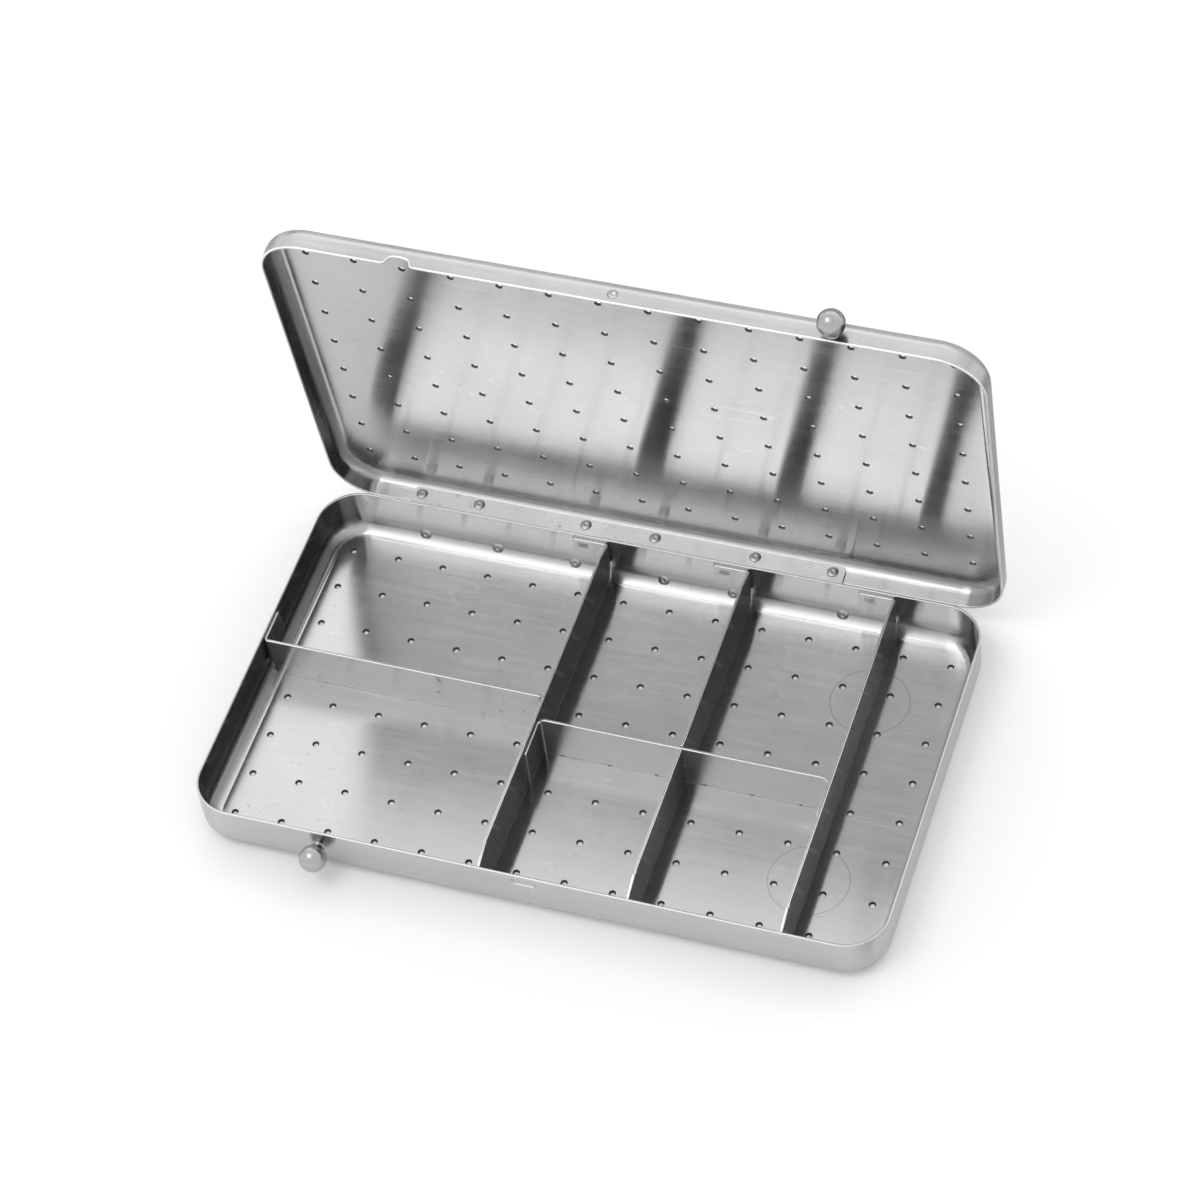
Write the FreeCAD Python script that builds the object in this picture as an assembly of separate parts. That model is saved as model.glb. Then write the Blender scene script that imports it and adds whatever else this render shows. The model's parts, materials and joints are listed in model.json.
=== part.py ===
import FreeCAD, Part
import math
import os

# Perforated needle cassette, all lengths in millimetres.
# Origin at the centre of the tray's underside, +X to the right, -Y to the front, +Z up.
# The lid is modelled closed and then turned about the hinge pin to its open rest position.

# Driving dimensions: sheet and perforation
SHEET = 0.5
PITCH = 9.0
COLUMNS = 14
ROWS = 8
HOLE_DIAMETER = 1.2
LID_PITCH = 9.07
LID_HOLES_Y = 0.6

# Driving dimensions: tray
TRAY_LENGTH = 128.6
TRAY_WIDTH = 76.8
TRAY_HEIGHT = 10.1
TRAY_CORNER = 8.0
TRAY_BEND = 3.3

# Driving dimensions: lid, measured in the closed position
LID_SIDE_GAP = 1.0
LID_FRONT_GAP = 0.5
LID_TOP = 12.1
LID_RIM = 6.8
LID_CORNER = 9.0
LID_BEND = 2.8
LID_OPEN_ANGLE = 82.2

# Driving dimensions: hinge
AXIS_Y = 40.1
AXIS_Z = 4.0
PIN_DIAMETER = 1.7
KNUCKLE_BORE = 1.8
KNUCKLE_DIAMETER = 2.8
KNUCKLE_GAP = 0.25
KNUCKLE_CLEARANCE = 0.3
KNUCKLES = 9
HINGE_LEFT = -50.4
HINGE_RIGHT = 39.0
LID_LEAF_RIGHT = 34.9
LID_LEAF_TOP_GAP = 1.5
LEAF_CORNER = 0.8
LEAF_RISE = 0.9
LEAF_WRAP_ANGLE = 50.0

# Driving dimensions: rivets
RIVET_HEAD = 2.2
RIVET_SHANK = 1.2
RIVET_DOME = 0.4
RIVET_TAIL = 0.25
RIVET_TAIL_DIAMETER = 2.0
RIVET_DIMPLE = 0.35
BASE_RIVET_X = (-45.8, -31.3, -15.8, 1.7, 15.3, 36.4)
BASE_RIVET_ANGLE = 29.0
LID_RIVET_X = (-48.7, -37.1, -15.7, -2.0, 17.6, 32.6)
LID_RIVET_DROP = 3.0

# Driving dimensions: knobs and catch
BALL_DIAMETER = 5.0
BALL_STANDOFF = 2.9
NECK_DIAMETER = 2.2
SHANK_DIAMETER = 1.6
BASE_KNOB_X = -38.8
BASE_KNOB_Z = 6.35
LID_KNOB_X = 39.1
LID_KNOB_Z = 8.5
NOTCH_HALF_WIDTH = 2.1
NOTCH_HEIGHT = 1.75
CATCH_Z = 8.4
CATCH_LENGTH = 4.6
CATCH_HEIGHT = 1.5
CATCH_DEPTH = 0.4
CATCH_MARGIN = 0.35
DIMPLE_X = 0.2
DIMPLE_Z = 8.6
DIMPLE_DIAMETER = 2.0
DIMPLE_DEPTH = 0.45
DIMPLE_BULGE = 0.2

# Driving dimensions: dividers
LEFT_DIVIDER_X = -8.55
MIDDLE_DIVIDER_X = 19.0
RIGHT_DIVIDER_X = 46.8
LONG_TOP = 10.5
LONG_EAR = 7.2
FRONT_EAR_TOP = 8.5
BACK_EAR_TOP = 9.4
FRONT_SLOPE = 5.4
BACK_SLOPE = 4.5
KINK_WIDTH = 0.9
KINK_DEPTH = 0.5
LEFT_CROSS_Y = 0.4
LEFT_CROSS_TOP = 9.8
LEFT_CROSS_WALL_EAR = 7.4
LEFT_CROSS_INNER_EAR = 8.5
RIGHT_CROSS_Y = -4.5
RIGHT_CROSS_TOP = 10.3
RIGHT_CROSS_EAR = 8.0
CROSS_EAR_TOP = 9.6
CROSS_SLOPE = 1.5
EAR_BEND = 1.0
WALL_EAR_FOOT = 3.5
LAP_HEIGHT = 5.5
LAP_PLAY = 0.1

# Sizes that follow from the driving dimensions
TRAY_HALF_LENGTH = TRAY_LENGTH / 2
TRAY_HALF_WIDTH = TRAY_WIDTH / 2
TRAY_INNER_X = TRAY_HALF_LENGTH - SHEET
TRAY_INNER_Y = TRAY_HALF_WIDTH - SHEET
LID_HALF_LENGTH = TRAY_HALF_LENGTH + LID_SIDE_GAP + SHEET
LID_FRONT = -(TRAY_HALF_WIDTH + LID_FRONT_GAP + SHEET)
LID_LEAF_Y = AXIS_Y - SHEET / 2
LID_BACK = LID_LEAF_Y + 2 * SHEET
LID_CEILING = LID_TOP - SHEET
LID_LEAF_TOP = LID_CEILING - LID_LEAF_TOP_GAP
LID_RIVET_Z = LID_CEILING - LID_RIVET_DROP
KNUCKLE_LENGTH = (HINGE_RIGHT - HINGE_LEFT) / KNUCKLES

# Cutters and cavities run past the sheet by these lengths
MARGIN = 1.0
REACH = 20.0


def block(low, high):
    size = [high[axis] - low[axis] for axis in range(3)]
    return Part.makeBox(size[0], size[1], size[2], FreeCAD.Vector(*low))


def cylinder(radius, length, start, direction):
    return Part.makeCylinder(radius, length, FreeCAD.Vector(*start), FreeCAD.Vector(*direction))


def sphere(radius, centre):
    return Part.makeSphere(radius, FreeCAD.Vector(*centre))


# A flat outline of corner points pushed along a direction
def prism(points, direction):
    corners = [FreeCAD.Vector(*point) for point in points]
    outline = Part.makePolygon(corners + corners[:1])
    return Part.Face(outline).extrude(FreeCAD.Vector(*direction))


def edges_along(solid, axis, test):
    found = []
    for edge in solid.Edges:
        ends = [vertex.Point for vertex in edge.Vertexes]
        if len(ends) == 2 and abs((ends[1] - ends[0]).normalize()[axis]) > 0.999 and test(ends[0]):
            found.append(edge)
    return found


# A block with its four upright edges rounded and the edges of one flat end rounded too
def drawn_block(half_length, front, back, corner, bend, rim, panel):
    body = block((-half_length, front, min(rim, panel)), (half_length, back, max(rim, panel)))
    body = body.makeFillet(corner, edges_along(body, 2, lambda point: True))
    panel_edges = []
    for edge in body.Edges:
        bounds = edge.BoundBox
        if abs(bounds.ZMin - panel) < 0.001 and abs(bounds.ZMax - panel) < 0.001:
            panel_edges.append(edge)
    return body.makeFillet(bend, panel_edges)


def tray_cavity():
    return drawn_block(TRAY_INNER_X, -TRAY_INNER_Y, TRAY_INNER_Y, TRAY_CORNER - SHEET,
                       TRAY_BEND - SHEET, REACH, SHEET)


def lid_cavity():
    return drawn_block(LID_HALF_LENGTH - SHEET, LID_FRONT + SHEET, LID_BACK - SHEET,
                       LID_CORNER - SHEET, LID_BEND - SHEET, -REACH, LID_CEILING)


def perforation(pitch, centre_y, low, high):
    pins = []
    for column in range(COLUMNS):
        for row in range(ROWS):
            x = (column - (COLUMNS - 1) / 2) * pitch
            y = centre_y + (row - (ROWS - 1) / 2) * pitch
            pins.append(cylinder(HOLE_DIAMETER / 2, high - low, (x, y, low), (0, 0, 1)))
    return Part.makeCompound(pins)


# A bar with round ends that lies along X and is pushed along Y
def stadium(length, height, centre_x, centre_z, front, back):
    reach = (length - height) / 2
    bar = block((centre_x - reach, front, centre_z - height / 2),
                (centre_x + reach, back, centre_z + height / 2))
    ends = []
    for x in (centre_x - reach, centre_x + reach):
        ends.append(cylinder(height / 2, back - front, (x, front, centre_z), (0, 1, 0)))
    return bar.fuse(ends).removeSplitter()


# A point under a rivet, at a given radius from the centre of the bend between floor and back wall
def bend_point(radius, x):
    angle = math.radians(BASE_RIVET_ANGLE)
    y = TRAY_HALF_WIDTH - TRAY_BEND + radius * math.cos(angle)
    z = TRAY_BEND - radius * math.sin(angle)
    return (x, y, z)


def bend_direction():
    angle = math.radians(BASE_RIVET_ANGLE)
    return (0, math.cos(angle), -math.sin(angle))


# A round bar of the given radius along the centre of that bend
def bend_roll(radius):
    centre = (-TRAY_HALF_LENGTH, TRAY_HALF_WIDTH - TRAY_BEND, TRAY_BEND)
    return cylinder(radius, TRAY_LENGTH, centre, (1, 0, 0))


def base_rivet_bores():
    inner = TRAY_BEND - 2 * SHEET
    bores = []
    for x in BASE_RIVET_X:
        bores.append(cylinder(RIVET_SHANK / 2, 4 * SHEET, bend_point(inner, x), bend_direction()))
    return bores


def lid_rivet_bores():
    bores = []
    for x in LID_RIVET_X:
        start = (x, LID_LEAF_Y - SHEET, LID_RIVET_Z)
        bores.append(cylinder(RIVET_SHANK / 2, 4 * SHEET, start, (0, 1, 0)))
    return bores


def make_tray():
    outer = drawn_block(TRAY_HALF_LENGTH, -TRAY_HALF_WIDTH, TRAY_HALF_WIDTH, TRAY_CORNER,
                        TRAY_BEND, TRAY_HEIGHT, 0)
    shell = outer.cut(tray_cavity())
    bump = stadium(CATCH_LENGTH + 2 * CATCH_MARGIN, CATCH_HEIGHT + 2 * CATCH_MARGIN, 0, CATCH_Z,
                   -TRAY_INNER_Y - SHEET / 2, -TRAY_INNER_Y + CATCH_DEPTH)
    recess = stadium(CATCH_LENGTH, CATCH_HEIGHT, 0, CATCH_Z,
                     -TRAY_HALF_WIDTH - SHEET, -TRAY_HALF_WIDTH + CATCH_DEPTH)
    shell = shell.fuse(bump).cut(recess)
    knob_bore = cylinder(SHANK_DIAMETER / 2, 4 * SHEET,
                         (BASE_KNOB_X, -TRAY_HALF_WIDTH - SHEET, BASE_KNOB_Z), (0, 1, 0))
    holes = perforation(PITCH, 0, -SHEET, 2 * SHEET)
    return shell.cut([holes, knob_bore] + base_rivet_bores()).removeSplitter()


# The catch dimple is pressed inwards from the lid's front face
def press_dimple(shell):
    radius = ((DIMPLE_DIAMETER / 2) ** 2 + DIMPLE_DEPTH ** 2) / (2 * DIMPLE_DEPTH)
    centre = (DIMPLE_X, LID_FRONT + DIMPLE_DEPTH - radius, DIMPLE_Z)
    inner_face = LID_FRONT + SHEET
    bulge = sphere(inner_face + DIMPLE_BULGE - centre[1], centre)
    keep = block((DIMPLE_X - REACH, inner_face - SHEET / 2, LID_RIM),
                 (DIMPLE_X + REACH, inner_face + SHEET, LID_TOP))
    return shell.fuse(bulge.common(keep)).cut(sphere(radius, centre))


def knob_notch():
    low = (BASE_KNOB_X - NOTCH_HALF_WIDTH, LID_FRONT - SHEET, LID_RIM - NOTCH_HEIGHT)
    high = (BASE_KNOB_X + NOTCH_HALF_WIDTH, LID_FRONT + 2 * SHEET, LID_RIM + NOTCH_HEIGHT)
    notch = block(low, high)
    top_edges = edges_along(notch, 1, lambda point: point.z > LID_RIM)
    return notch.makeFillet(NOTCH_HEIGHT * 0.8, top_edges)


def make_lid_shell():
    outer = drawn_block(LID_HALF_LENGTH, LID_FRONT, LID_BACK, LID_CORNER, LID_BEND, LID_RIM, LID_TOP)
    shell = press_dimple(outer.cut(lid_cavity()))
    knob_bore = cylinder(SHANK_DIAMETER / 2, 4 * SHEET, (LID_KNOB_X, LID_FRONT - SHEET, LID_KNOB_Z),
                         (0, 1, 0))
    holes = perforation(LID_PITCH, LID_HOLES_Y, LID_CEILING - SHEET, LID_TOP + SHEET)
    return shell.cut([holes, knob_bore, knob_notch()] + lid_rivet_bores()).removeSplitter()


# Ball, neck and shank; the neck is cut to the wall so that it sits on the bend without a gap
def make_knob(x, wall, z, shell):
    ball = sphere(BALL_DIAMETER / 2, (x, wall - BALL_STANDOFF, z))
    neck = cylinder(NECK_DIAMETER / 2, BALL_STANDOFF + SHEET / 2, (x, wall - BALL_STANDOFF, z),
                    (0, 1, 0))
    shank = cylinder(SHANK_DIAMETER / 2, BALL_STANDOFF + SHEET, (x, wall - BALL_STANDOFF, z),
                     (0, 1, 0))
    return ball.fuse([neck, shank]).removeSplitter().cut(shell)


def knuckle(index, bore):
    left = HINGE_LEFT + index * KNUCKLE_LENGTH
    right = left + KNUCKLE_LENGTH
    if index > 0:
        left += KNUCKLE_GAP / 2
    if index < KNUCKLES - 1:
        right -= KNUCKLE_GAP / 2
    start = (left, AXIS_Y, AXIS_Z)
    barrel = cylinder(KNUCKLE_DIAMETER / 2, right - left, start, (1, 0, 0))
    return barrel, cylinder(bore / 2, right - left, start, (1, 0, 0))


# Clear space around a knuckle of the other leaf, cut out of a leaf's plate
def knuckle_window(index, low, high):
    left = HINGE_LEFT + index * KNUCKLE_LENGTH - KNUCKLE_GAP / 2
    right = left + KNUCKLE_LENGTH + KNUCKLE_GAP
    return block((left, AXIS_Y - KNUCKLE_DIAMETER, low), (right, AXIS_Y + KNUCKLE_DIAMETER, high))


def make_base_leaf():
    top = AXIS_Z + LEAF_RISE
    plate = block((HINGE_LEFT, TRAY_HALF_WIDTH, TRAY_BEND),
                  (HINGE_RIGHT, TRAY_HALF_WIDTH + SHEET, top))
    centre_y = TRAY_HALF_WIDTH - TRAY_BEND
    drop = REACH * math.tan(math.radians(LEAF_WRAP_ANGLE))
    wedge = prism([(HINGE_LEFT, centre_y, TRAY_BEND), (HINGE_LEFT, centre_y + REACH, TRAY_BEND),
                   (HINGE_LEFT, centre_y + REACH, TRAY_BEND - drop)],
                  (HINGE_RIGHT - HINGE_LEFT, 0, 0))
    wrap = bend_roll(TRAY_BEND + SHEET).cut(bend_roll(TRAY_BEND)).common(wedge)
    leaf = plate.fuse(wrap)
    clear = AXIS_Z - KNUCKLE_DIAMETER / 2 - KNUCKLE_CLEARANCE
    windows = [knuckle_window(index, clear, REACH) for index in range(1, KNUCKLES, 2)]
    leaf = leaf.cut(windows)
    bores = []
    for index in range(0, KNUCKLES, 2):
        # The two end knuckles grip the pin, the others run free on it
        gripping = index in (0, KNUCKLES - 1)
        barrel, bore = knuckle(index, PIN_DIAMETER if gripping else KNUCKLE_BORE)
        leaf = leaf.fuse(barrel)
        bores.append(bore)
    return leaf.cut(bores + base_rivet_bores()).removeSplitter()


def make_lid_leaf(shell):
    plate = block((HINGE_LEFT, LID_LEAF_Y, AXIS_Z), (LID_LEAF_RIGHT, LID_LEAF_Y + SHEET, LID_LEAF_TOP))
    plate = plate.makeFillet(LEAF_CORNER, edges_along(plate, 1, lambda point: point.z > LID_RIM))
    clear = AXIS_Z + KNUCKLE_DIAMETER / 2 + KNUCKLE_CLEARANCE
    windows = [knuckle_window(index, -REACH, clear) for index in range(0, KNUCKLES, 2)]
    leaf = plate.cut(windows)
    bores = []
    for index in range(1, KNUCKLES, 2):
        barrel, bore = knuckle(index, KNUCKLE_BORE)
        leaf = leaf.fuse(barrel)
        bores.append(bore)
    return leaf.cut(bores + [shell] + lid_rivet_bores()).removeSplitter()


def make_pin():
    start = (HINGE_LEFT, AXIS_Y, AXIS_Z)
    return cylinder(PIN_DIAMETER / 2, HINGE_RIGHT - HINGE_LEFT, start, (1, 0, 0))


def dome_radius():
    return ((RIVET_HEAD / 2) ** 2 + RIVET_DOME ** 2) / (2 * RIVET_DOME)


# Domed head with a small set mark, shank, and a flat tail on the outside
def make_base_rivet(x):
    inner = TRAY_BEND - SHEET
    outer = TRAY_BEND + SHEET
    radius = dome_radius()
    dome = sphere(radius, bend_point(inner - RIVET_DOME + radius, x)).common(bend_roll(inner))
    shank = cylinder(RIVET_SHANK / 2, 2 * SHEET + RIVET_TAIL + SHEET / 2,
                     bend_point(inner - SHEET / 2, x), bend_direction())
    tail = cylinder(RIVET_TAIL_DIAMETER / 2, RIVET_TAIL + SHEET, bend_point(outer - SHEET, x),
                    bend_direction())
    mark = sphere(RIVET_DIMPLE, bend_point(inner - RIVET_DOME - RIVET_DIMPLE / 2, x))
    return dome.fuse([shank, tail.cut(bend_roll(outer))]).cut(mark).removeSplitter()


def make_lid_rivet(x, shell):
    radius = dome_radius()
    dome = sphere(radius, (x, LID_LEAF_Y - RIVET_DOME + radius, LID_RIVET_Z))
    keep = block((x - REACH, LID_LEAF_Y - REACH, LID_RIM), (x + REACH, LID_LEAF_Y, LID_TOP))
    shank = cylinder(RIVET_SHANK / 2, 2 * SHEET + RIVET_TAIL + SHEET / 2,
                     (x, LID_LEAF_Y - SHEET / 2, LID_RIVET_Z), (0, 1, 0))
    tail = cylinder(RIVET_TAIL_DIAMETER / 2, RIVET_TAIL + SHEET, (x, LID_BACK - SHEET, LID_RIVET_Z),
                    (0, 1, 0))
    mark = sphere(RIVET_DIMPLE, (x, LID_LEAF_Y - RIVET_DOME - RIVET_DIMPLE / 2, LID_RIVET_Z))
    tail = tail.cut([shell, lid_cavity()])
    return dome.common(keep).fuse([shank, tail]).cut(mark).removeSplitter()


# A strip of sheet with both ends bent over to the same side: the web lies along X with its outer
# face at Y = 0, the ears point to +Y. Each end gives its ear's length, top and foot and the
# length of the slope that leads down to it.
def bent_strip(length, top, first, last):
    far = max(first["ear"], last["ear"])
    outer = block((0, 0, 0), (length, far, REACH))
    outer = outer.makeFillet(EAR_BEND, edges_along(outer, 2, lambda point: point.y < SHEET))
    inner = block((SHEET, SHEET, -MARGIN), (length - SHEET, far + MARGIN, REACH + MARGIN))
    inner = inner.makeFillet(EAR_BEND - SHEET, edges_along(inner, 2, lambda point: point.y < 2 * SHEET))
    strip = outer.cut(inner)
    side_view = [(0, first["foot"]), (EAR_BEND, first["foot"]), (EAR_BEND, SHEET),
                 (length - EAR_BEND, SHEET), (length - EAR_BEND, last["foot"]),
                 (length, last["foot"]), (length, last["top"]),
                 (length - last["slope"], top), (first["slope"], top), (0, first["top"])]
    profile = prism([(x, 0, z) for x, z in side_view], (0, far, 0))
    first_waste = block((0, first["ear"], 0), (length / 2, far + MARGIN, REACH))
    last_waste = block((length / 2, last["ear"], 0), (length, far + MARGIN, REACH))
    return strip.common(profile).cut([first_waste, last_waste])


def placed(shape, x, y, angle):
    turned = shape.copy()
    turned.rotate(FreeCAD.Vector(0, 0, 0), FreeCAD.Vector(0, 0, 1), angle)
    turned.translate(FreeCAD.Vector(x, y, 0))
    return turned


def wall_end(ear, top, slope):
    return {"ear": ear, "top": top, "foot": WALL_EAR_FOOT, "slope": slope}


def inner_end(ear):
    return {"ear": ear, "top": CROSS_EAR_TOP, "foot": SHEET, "slope": CROSS_SLOPE}


def make_long_divider(right_face, kinked):
    strip = bent_strip(2 * TRAY_INNER_Y, LONG_TOP, wall_end(LONG_EAR, FRONT_EAR_TOP, FRONT_SLOPE),
                       wall_end(LONG_EAR, BACK_EAR_TOP, BACK_SLOPE))
    if kinked:
        kink = prism([(FRONT_SLOPE - KINK_WIDTH / 2, 0, LONG_TOP),
                      (FRONT_SLOPE + KINK_WIDTH / 2, 0, LONG_TOP),
                      (FRONT_SLOPE, 0, LONG_TOP - KINK_DEPTH)], (0, SHEET, 0))
        strip = strip.cut(kink)
    return placed(strip, right_face, -TRAY_INNER_Y, 90).common(tray_cavity())


def make_middle_divider():
    divider = make_long_divider(MIDDLE_DIVIDER_X, True)
    slot = block((MIDDLE_DIVIDER_X - 2 * SHEET, RIGHT_CROSS_Y - SHEET - LAP_PLAY, LAP_HEIGHT),
                 (MIDDLE_DIVIDER_X + SHEET, RIGHT_CROSS_Y + LAP_PLAY, REACH))
    return divider.cut(slot)


def make_left_cross():
    length = TRAY_INNER_X + LEFT_DIVIDER_X - SHEET
    strip = bent_strip(length, LEFT_CROSS_TOP,
                       wall_end(LEFT_CROSS_WALL_EAR, CROSS_EAR_TOP, CROSS_SLOPE),
                       inner_end(LEFT_CROSS_INNER_EAR))
    return placed(strip, -TRAY_INNER_X, LEFT_CROSS_Y, 0).common(tray_cavity())


def make_right_cross():
    right = RIGHT_DIVIDER_X - SHEET
    strip = bent_strip(right - LEFT_DIVIDER_X, RIGHT_CROSS_TOP, inner_end(RIGHT_CROSS_EAR),
                       inner_end(RIGHT_CROSS_EAR))
    divider = placed(strip, right, RIGHT_CROSS_Y, 180)
    slot = block((MIDDLE_DIVIDER_X - SHEET - LAP_PLAY, RIGHT_CROSS_Y - 2 * SHEET, 0),
                 (MIDDLE_DIVIDER_X + LAP_PLAY, RIGHT_CROSS_Y + SHEET, LAP_HEIGHT))
    return divider.cut(slot)


def opened(shape):
    turned = shape.copy()
    turned.rotate(FreeCAD.Vector(0, AXIS_Y, AXIS_Z), FreeCAD.Vector(-1, 0, 0), LID_OPEN_ANGLE)
    return turned


def save(name, shape):
    shape.exportStep("parts/" + name + ".step")
    print(name, "solids", len(shape.Solids), "valid", shape.isValid(), "volume", round(shape.Volume, 1))


def main():
    os.makedirs("parts", exist_ok=True)
    tray = make_tray()
    shell = make_lid_shell()
    save("base_tray", tray)
    save("base_hinge_leaf", make_base_leaf())
    save("hinge_pin", make_pin())
    save("base_hinge_rivets", Part.makeCompound([make_base_rivet(x) for x in BASE_RIVET_X]))
    save("base_knob", make_knob(BASE_KNOB_X, -TRAY_HALF_WIDTH, BASE_KNOB_Z, tray))
    save("left_long_divider", make_long_divider(LEFT_DIVIDER_X, False))
    save("middle_long_divider", make_middle_divider())
    save("right_long_divider", make_long_divider(RIGHT_DIVIDER_X, True))
    save("left_cross_divider", make_left_cross())
    save("right_cross_divider", make_right_cross())
    save("lid_shell", opened(shell))
    save("lid_hinge_leaf", opened(make_lid_leaf(shell)))
    save("lid_hinge_rivets", opened(Part.makeCompound([make_lid_rivet(x, shell) for x in LID_RIVET_X])))
    save("lid_knob", opened(make_knob(LID_KNOB_X, LID_FRONT, LID_KNOB_Z, shell)))


main()
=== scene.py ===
# %% [markdown]
# # A perforated needle cassette
# A stainless steel case for sterilising needles stands open on a white table. The tray and the lid are
# drawn from thin sheet and punched with a grid of small holes. Strips of sheet divide the tray into
# compartments, a riveted hinge joins tray and lid, and a turned ball knob sits on the front of each.
# The solids of the case are loaded first. They fix every size, and each piece below is modelled at
# the place of the solid that it stands for.

# %% Load the measured frame
import bpy
import json
import math
from mathutils import Matrix, Vector


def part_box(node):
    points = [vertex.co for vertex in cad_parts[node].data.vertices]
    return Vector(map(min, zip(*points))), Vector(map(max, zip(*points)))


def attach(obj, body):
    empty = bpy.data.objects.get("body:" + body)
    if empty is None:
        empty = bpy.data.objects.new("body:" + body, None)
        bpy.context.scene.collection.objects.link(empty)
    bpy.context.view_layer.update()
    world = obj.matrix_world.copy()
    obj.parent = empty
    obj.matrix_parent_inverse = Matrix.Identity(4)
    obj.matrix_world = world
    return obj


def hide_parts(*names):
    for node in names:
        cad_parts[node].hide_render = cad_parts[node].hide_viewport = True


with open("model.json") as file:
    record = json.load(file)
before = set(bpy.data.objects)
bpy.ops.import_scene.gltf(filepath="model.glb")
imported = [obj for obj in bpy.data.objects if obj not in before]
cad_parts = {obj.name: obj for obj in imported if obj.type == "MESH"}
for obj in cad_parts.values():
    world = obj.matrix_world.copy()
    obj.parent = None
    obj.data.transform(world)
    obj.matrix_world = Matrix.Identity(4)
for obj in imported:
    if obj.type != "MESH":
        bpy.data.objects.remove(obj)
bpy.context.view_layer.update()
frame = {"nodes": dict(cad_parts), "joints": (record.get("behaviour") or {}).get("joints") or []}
MM = 0.001

# %% [markdown]
# ## Sizes that come from the frame
# The tray gives the outer sizes, and the hinge joint gives the pin's place and the angle between the
# open and the closed lid. The lid is easiest to model closed, so its pieces are turned open at the end.

# %% Read the main sizes
tray_low, tray_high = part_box("base_tray")
lid_low, lid_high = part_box("lid_shell")
HINGE = frame["joints"][0]
AXIS = Vector(HINGE["pos_m"])
OPEN_TURN = math.radians(HINGE["range_deg"][0])
SHEET = 0.5 * MM
TRAY_HALF_X = tray_high[0]
TRAY_HALF_Y = tray_high[1]
TRAY_TOP = tray_high[2]
LID_HALF_X = lid_high[0]
print("tray", [round(2000 * v, 1) for v in (TRAY_HALF_X, TRAY_HALF_Y)], "mm, axis", AXIS[:])

# %% [markdown]
# ## Working by hand in code
# Blender's operators act on what is selected, so three small helpers do what a hand does at the screen:
# let go of everything, pick faces or edges by where they are, and apply a modifier.

# %% Helpers for selecting and applying
def let_go():
    if bpy.context.object and bpy.context.object.mode == "EDIT":
        bpy.ops.object.mode_set(mode="OBJECT")
    bpy.ops.object.select_all(action="DESELECT")


def hold(piece):
    let_go()
    piece.select_set(True)
    bpy.context.view_layer.objects.active = piece


def centre_of(piece, element):
    if hasattr(element, "co"):
        return element.co
    if hasattr(element, "center"):
        return element.center
    ends = [piece.data.vertices[index].co for index in element.vertices]
    return (ends[0] + ends[1]) / 2


def pick(piece, kind, test):
    hold(piece)
    bpy.ops.object.mode_set(mode="EDIT")
    bpy.ops.mesh.select_mode(type=kind)
    bpy.ops.mesh.select_all(action="DESELECT")
    bpy.ops.object.mode_set(mode="OBJECT")
    mesh = piece.data
    elements = {"VERT": mesh.vertices, "EDGE": mesh.edges, "FACE": mesh.polygons}[kind]
    picked = 0
    for element in elements:
        if test(element):
            element.select = True
            picked += 1
    bpy.ops.object.mode_set(mode="EDIT")
    return picked


def finish_with(piece, kind, **settings):
    hold(piece)
    modifier = piece.modifiers.new(kind.title(), kind)
    for name, value in settings.items():
        setattr(modifier, name, value)
    bpy.ops.object.modifier_apply(modifier=modifier.name)


def apply_place(piece):
    hold(piece)
    bpy.ops.object.transform_apply(location=True, rotation=True, scale=True)


def smooth(piece, angle=35):
    hold(piece)
    bpy.ops.object.shade_smooth_by_angle(angle=math.radians(angle))
    finish_with(piece, "WEIGHTED_NORMAL", keep_sharp=True, mode="FACE_AREA", weight=50)


def add_block(name, low, high):
    let_go()
    middle = [(a + b) / 2 for a, b in zip(low, high)]
    bpy.ops.mesh.primitive_cube_add(size=1, location=middle)
    piece = bpy.context.object
    piece.name = name
    piece.scale = [b - a for a, b in zip(low, high)]
    apply_place(piece)
    return piece


def cut_away(piece, cutter, operation="DIFFERENCE", materials="INDEX"):
    finish_with(piece, "BOOLEAN", object=cutter, operation=operation, solver="EXACT",
                material_mode=materials)
    bpy.data.objects.remove(cutter, do_unlink=True)


def open_with_lid(piece):
    away = Matrix.Translation(AXIS)
    turn = Matrix.Rotation(OPEN_TURN, 4, "X")
    piece.matrix_world = away @ turn @ away.inverted()
    apply_place(piece)


# %% [markdown]
# ## Steel in shader nodes
# Stainless sheet looks the way it does through four things: a fine grain from rolling and brushing, a
# slow waviness that bends reflections, cloudy changes of gloss from handling and steriliser heat, and
# bright edges, partly rubbed and partly a painted highlight in a lighter colour. Each is a node group
# here, so every finish below mixes the same groups with its own values.

# %% Helpers for building node groups
def new_group(name, inputs, outputs):
    group = bpy.data.node_groups.new(name, "ShaderNodeTree")
    for socket_name, kind, default in inputs:
        socket = group.interface.new_socket(socket_name, in_out="INPUT", socket_type=kind)
        if default is not None:
            socket.default_value = default
    for socket_name, kind in outputs:
        group.interface.new_socket(socket_name, in_out="OUTPUT", socket_type=kind)
    start = group.nodes.new("NodeGroupInput")
    end = group.nodes.new("NodeGroupOutput")
    return group, start, end


def node(tree, kind, **settings):
    made = tree.nodes.new(kind)
    for name, value in settings.items():
        if name in made.inputs:
            made.inputs[name].default_value = value
        else:
            setattr(made, name, value)
    return made


def link(tree, source, target):
    tree.links.new(source, target)


def math_node(tree, operation, first, second=None):
    made = node(tree, "ShaderNodeMath", operation=operation)
    for index, value in enumerate((first, second)):
        if value is None:
            continue
        if hasattr(value, "is_linked"):
            link(tree, value, made.inputs[index])
        else:
            made.inputs[index].default_value = value
    return made.outputs[0]


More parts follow.
